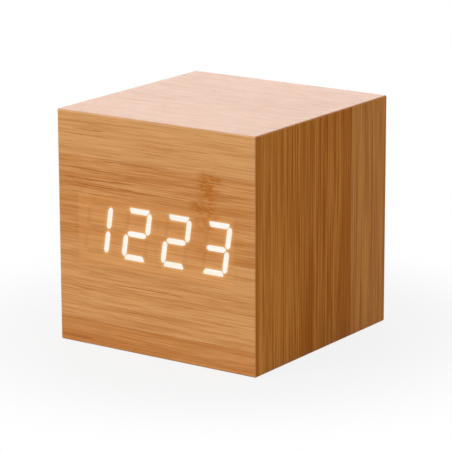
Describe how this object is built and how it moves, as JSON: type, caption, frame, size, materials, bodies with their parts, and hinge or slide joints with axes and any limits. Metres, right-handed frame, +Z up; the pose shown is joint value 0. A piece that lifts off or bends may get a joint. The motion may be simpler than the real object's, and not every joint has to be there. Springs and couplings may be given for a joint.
{
  "type": "wooden cube digital clock",
  "caption": "Cube desk clock veneered in bamboo, with seven-segment digits shining through its front, and buttons, a power jack and a battery door at the back.",
  "frame": {"origin": "centre of the case's flat base, on the surface it stands on", "axes": "+Z up; the front with the digits faces -Y; +X is to the right as seen from the front"},
  "size_m": [0.062, 0.063, 0.062],
  "materials": {
    "bamboo_veneer": "satin clear coat over upright-grained bamboo",
    "fibreboard": "sawn and sanded medium-density fibreboard",
    "softwood": "planed",
    "lit_veneer": "veneer lit from behind",
    "diffuser": "frosted film",
    "white_reflector": "moulded white",
    "circuit_board": "green solder mask",
    "lamp_resin": "phosphor resin",
    "chip_black": "moulded black",
    "solder_tin": "tinned",
    "resistor_black": "glazed",
    "socket_white": "moulded off-white",
    "ribbon_grey": "extruded grey",
    "capacitor_sleeve": "dark blue sleeve",
    "zinc_screw": "zinc plated",
    "black_plastic": "fine spark-eroded texture",
    "cell_jacket": "plain dark green jacket with bare steel ends",
    "nickel_contact": "nickel plated",
    "red_wire": "PVC",
    "black_wire": "PVC"
  },
  "bodies": {
    "case": {"back_board": "fibreboard", "back_veneer": "bamboo_veneer", "battery_box": "black_plastic", "black_lead": "black_wire", "bottom_board": "fibreboard", "bottom_veneer": "bamboo_veneer", "buzzer": "chip_black", "capacitor": "capacitor_sleeve", "contact_springs": "nickel_contact", "controller_chip": "chip_black", "controller_chip_pins": "solder_tin", "crystal": "solder_tin", "diffuser_film": "diffuser", "down_switch": "black_plastic", "driver_chip_pins": "solder_tin", "driver_chips": "chip_black", "front_board": "fibreboard", "front_veneer": "bamboo_veneer", "lamp_board": "circuit_board", "lamp_board_screws": "zinc_screw", "lamp_board_socket": "socket_white", "lamp_resistors": "resistor_black", "left_board": "fibreboard", "left_bridge_contact": "nickel_contact", "left_rail": "softwood", "left_veneer": "bamboo_veneer", "lit_segments": "lit_veneer", "lower_cell": "cell_jacket", "main_board": "circuit_board", "main_board_screws": "zinc_screw", "main_board_socket": "socket_white", "microphone": "solder_tin", "middle_cell": "cell_jacket", "negative_terminal": "nickel_contact", "positive_terminal": "nickel_contact", "power_jack": "black_plastic", "power_jack_pin": "solder_tin", "red_lead": "red_wire", "ribbon_cable": "ribbon_grey", "ribbon_plugs": "socket_white", "right_board": "fibreboard", "right_bridge_contact": "nickel_contact", "right_rail": "softwood", "right_veneer": "bamboo_veneer", "segment_lamps": "lamp_resin", "segment_mask": "white_reflector", "set_switch": "black_plastic", "top_board": "fibreboard", "top_veneer": "bamboo_veneer", "up_switch": "black_plastic", "upper_cell": "cell_jacket"},
    "set_button": {"set_button": "black_plastic", "set_stem": "black_plastic"},
    "up_button": {"up_button": "black_plastic", "up_stem": "black_plastic"},
    "down_button": {"down_button": "black_plastic", "down_stem": "black_plastic"},
    "battery_door": {"battery_door": "black_plastic"}
  },
  "joints": [
    {"name": "set_press", "type": "slide", "parent": "case", "child": "set_button", "axis": [0, -1, 0], "range_m": [0, 0.0003], "stiffness_N_per_m": 400},
    {"name": "up_press", "type": "slide", "parent": "case", "child": "up_button", "axis": [0, -1, 0], "range_m": [0, 0.0003], "stiffness_N_per_m": 400},
    {"name": "down_press", "type": "slide", "parent": "case", "child": "down_button", "axis": [0, -1, 0], "range_m": [0, 0.0003], "stiffness_N_per_m": 400},
    {"name": "door_tilt", "type": "hinge", "parent": "case", "child": "battery_door", "pos_m": [0, 0.0307, 0.00845], "axis": [-1, 0, 0], "range_deg": [0, 60]}
  ]
}
